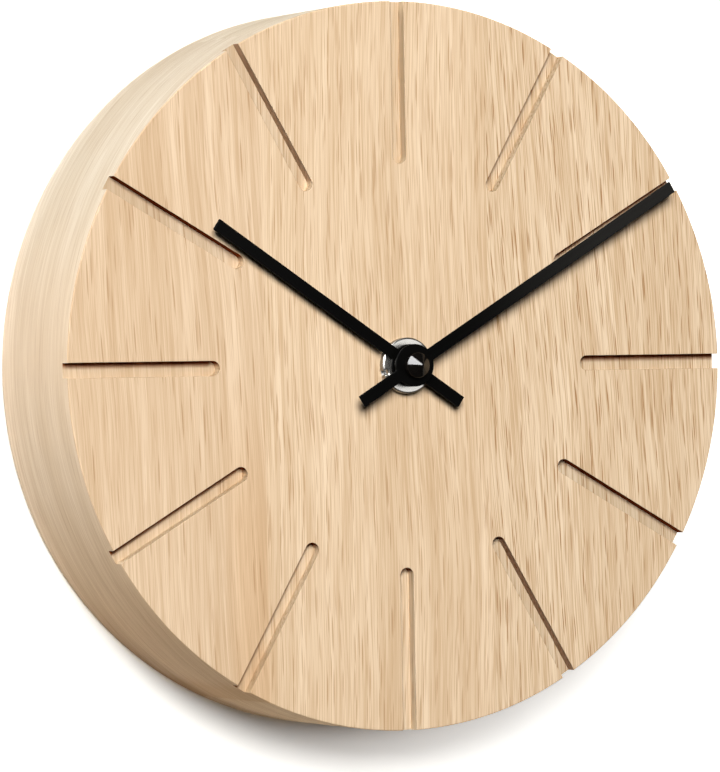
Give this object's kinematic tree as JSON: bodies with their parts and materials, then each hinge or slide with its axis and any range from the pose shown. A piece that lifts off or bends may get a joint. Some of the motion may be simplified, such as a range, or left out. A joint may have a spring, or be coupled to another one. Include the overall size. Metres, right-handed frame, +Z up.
{
  "type": "wall clock",
  "caption": "Round wall clock turned from solid oak, with milled hour slots, two straight black hands and a quartz movement set into its back.",
  "frame": {"origin": "on the clock's axis, in the flat back plane of the wood, where it meets the wall", "axes": "+Y out of the back, towards the wall; -Y out of the dial, towards the viewer; +Z up, towards twelve; +X towards three"},
  "size_m": [0.18, 0.0519, 0.18],
  "materials": {
    "oak": "fine vertical oak grain with short dark pores, thin matte oil",
    "hand_black": "satin black lacquer",
    "cap_black": "glossy black",
    "chrome": "bright plating, turned front face",
    "brass": "machined",
    "contact_nickel": "nickel plated spring strip",
    "steel": "zinc plated",
    "rubber": "matte",
    "case_plastic": "fine moulded texture",
    "gear_plastic": "natural acetal",
    "bobbin_plastic": "natural nylon",
    "magnet": "sintered, fine grain",
    "copper": "lacquered copper wire, wound in layers",
    "board_green": "solder resist over glass laminate",
    "epoxy": "potting resin",
    "cell_sleeve": "plain shrink sleeve, no print"
  },
  "bodies": {
    "clock_body": {"oak_body": "oak", "keyhole_plate": "steel", "hanger_screw_upper": "steel", "hanger_screw_lower": "steel", "hand_nut": "chrome", "nut_washer": "steel", "rubber_washer": "rubber", "threaded_bushing": "brass", "movement_case": "case_plastic", "rear_cover": "case_plastic", "middle_plate": "bobbin_plastic", "stator": "steel", "coil_core": "steel", "coil_bobbin": "bobbin_plastic", "coil_winding": "copper", "circuit_board": "board_green", "quartz_crystal": "steel", "timing_chip": "epoxy", "positive_contact": "contact_nickel", "negative_contact": "contact_nickel"},
    "minute_works": {"minute_hand": "hand_black", "cap_nut": "cap_black", "minute_arbor": "brass", "centre_wheel": "gear_plastic", "clutch_spring": "steel"},
    "hour_works": {"hour_hand": "hand_black", "hour_wheel": "gear_plastic"},
    "minute_wheel_works": {"minute_wheel": "gear_plastic"},
    "third_works": {"third_wheel": "gear_plastic"},
    "seconds_works": {"seconds_wheel": "gear_plastic"},
    "intermediate_works": {"intermediate_wheel": "gear_plastic"},
    "rotor": {"rotor_pinion": "gear_plastic", "rotor_magnet": "magnet"},
    "setting_works": {"setting_knob": "case_plastic", "setting_pinion": "gear_plastic"},
    "battery": {"battery_cell": "cell_sleeve", "battery_button": "steel"}
  },
  "joints": [
    {"name": "minute_turn", "type": "hinge", "parent": "clock_body", "child": "minute_works", "pos_m": [0, -0.047, 0], "axis": [0, 1, 0], "continuous": true},
    {"name": "hour_turn", "type": "hinge", "parent": "clock_body", "child": "hour_works", "pos_m": [0, -0.045, 0], "axis": [0, 1, 0], "continuous": true},
    {"name": "minute_wheel_turn", "type": "hinge", "parent": "clock_body", "child": "minute_wheel_works", "pos_m": [-0.0096, -0.025, 0], "axis": [0, 1, 0], "continuous": true},
    {"name": "third_turn", "type": "hinge", "parent": "clock_body", "child": "third_works", "pos_m": [-0.00156, -0.025, 0.00886], "axis": [0, 1, 0], "continuous": true},
    {"name": "seconds_turn", "type": "hinge", "parent": "clock_body", "child": "seconds_works", "pos_m": [0, -0.025, 0], "axis": [0, 1, 0], "continuous": true},
    {"name": "intermediate_turn", "type": "hinge", "parent": "clock_body", "child": "intermediate_works", "pos_m": [0.00724, -0.025, -0.00263], "axis": [0, 1, 0], "continuous": true},
    {"name": "rotor_turn", "type": "hinge", "parent": "clock_body", "child": "rotor", "pos_m": [0.01287, -0.025, -0.00469], "axis": [0, 1, 0], "continuous": true},
    {"name": "setting_turn", "type": "hinge", "parent": "clock_body", "child": "setting_works", "pos_m": [-0.01639, -0.016, 0.00679], "axis": [0, 1, 0], "continuous": true},
    {"name": "battery_slide", "type": "slide", "parent": "clock_body", "child": "battery", "axis": [0, 1, 0], "range_m": [0, 0.045]}
  ],
  "couplings": [
    {"joint": "hour_turn", "follows": "minute_turn", "ratio": 0.083333},
    {"joint": "minute_wheel_turn", "follows": "minute_turn", "ratio": -0.33333},
    {"joint": "third_turn", "follows": "minute_turn", "ratio": -8},
    {"joint": "seconds_turn", "follows": "minute_turn", "ratio": 60},
    {"joint": "intermediate_turn", "follows": "minute_turn", "ratio": -360},
    {"joint": "rotor_turn", "follows": "minute_turn", "ratio": 1800},
    {"joint": "setting_turn", "follows": "minute_turn", "ratio": 1}
  ]
}
